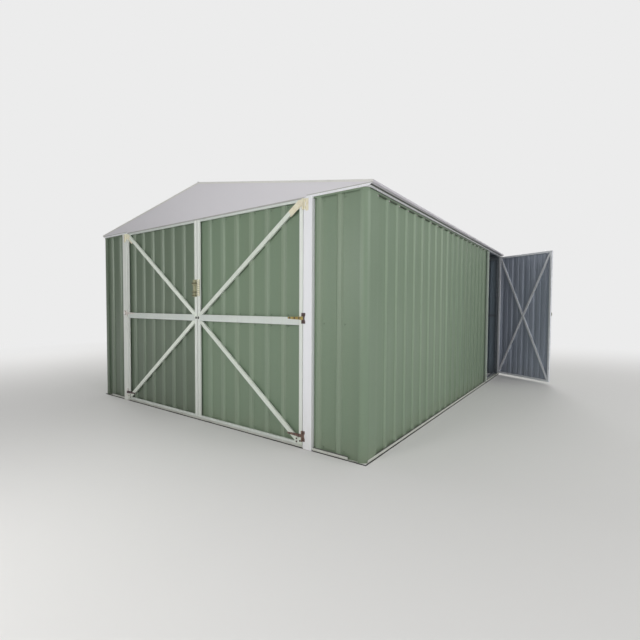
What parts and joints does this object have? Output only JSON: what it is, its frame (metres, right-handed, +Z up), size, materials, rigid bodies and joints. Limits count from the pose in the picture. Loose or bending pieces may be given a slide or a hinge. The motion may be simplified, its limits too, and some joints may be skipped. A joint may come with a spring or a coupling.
{
  "type": "metal storage shed",
  "caption": "Gabled metal storage shed with ribbed cladding, hinged cross-braced doors in the front gable end and a hinged door in the side wall.",
  "frame": {"origin": "underside of the front base rail on the doorway's centre line, in the plane of the wall frame's front face", "axes": "+X to the right along the front gable end, +Y from the front to the rear along the ridge, +Z up"},
  "size_m": [4.9012, 5.043, 2.5037],
  "materials": {
    "cladding_green": "satin sage green coating, grey-blue backing coat inside",
    "trim_white": "satin off-white coating",
    "gable_grey": "satin light grey coating",
    "roof_grey": "satin light grey coating",
    "frame_galvanised": "zinc coated, dull",
    "leaf_frame_grey": "zinc coated, dull grey-blue",
    "hinge_plate_dark": "weathered dark steel",
    "hinge_brass": "yellow passivated steel, weathered"
  },
  "bodies": {
    "shed": {"base_rail_front": "trim_white", "base_rail_rear": "trim_white", "base_rails_side": "trim_white", "corner_posts": "frame_galvanised", "door_post_left": "trim_white", "door_post_right": "trim_white", "side_door_jambs": "trim_white", "top_rails": "trim_white", "eave_rails": "frame_galvanised", "wall_studs": "frame_galvanised", "wall_girts": "frame_galvanised", "ridge_beam": "frame_galvanised", "roof_rafters": "frame_galvanised", "roof_purlins": "frame_galvanised", "roof_sheet_left": "roof_grey", "roof_sheet_right": "roof_grey", "ridge_cap": "roof_grey", "barge_flashings": "trim_white", "eave_flashings": "trim_white", "gable_panel_front": "gable_grey", "gable_panel_rear": "gable_grey", "wall_sheet_front_left": "cladding_green", "wall_sheet_front_right": "cladding_green", "wall_sheet_right": "cladding_green", "wall_sheet_left": "cladding_green", "wall_sheet_rear": "cladding_green", "corner_flashings": "cladding_green", "wall_top_trims": "trim_white", "hinge_post_plates": "hinge_plate_dark"},
    "left_door": {"left_door_stiles": "trim_white", "left_door_rails": "trim_white", "left_door_braces": "trim_white", "left_door_sheet": "cladding_green", "left_door_straps": "hinge_brass", "door_latch": "hinge_brass"},
    "right_door": {"right_door_stiles": "trim_white", "right_door_rails": "trim_white", "right_door_braces": "trim_white", "right_door_sheet": "cladding_green", "right_door_straps": "hinge_brass"},
    "side_door": {"side_door_stiles": "leaf_frame_grey", "side_door_rails": "leaf_frame_grey", "side_door_brace": "leaf_frame_grey", "side_door_sheet": "cladding_green", "side_door_straps": "hinge_brass", "side_door_bolt": "hinge_brass"}
  },
  "joints": [
    {"name": "left_door_hinge", "type": "hinge", "parent": "shed", "child": "left_door", "pos_m": [-1.4075, -0.0515, 1.1], "axis": [0, 0, -1], "range_deg": [0, 120]},
    {"name": "right_door_hinge", "type": "hinge", "parent": "shed", "child": "right_door", "pos_m": [1.4075, -0.0515, 1.1], "axis": [0, 0, 1], "range_deg": [0, 120]},
    {"name": "side_door_hinge", "type": "hinge", "parent": "shed", "child": "side_door", "pos_m": [2.0075, 4.924, 1.1], "axis": [0, 0, 1], "range_deg": [-61, 59]}
  ]
}
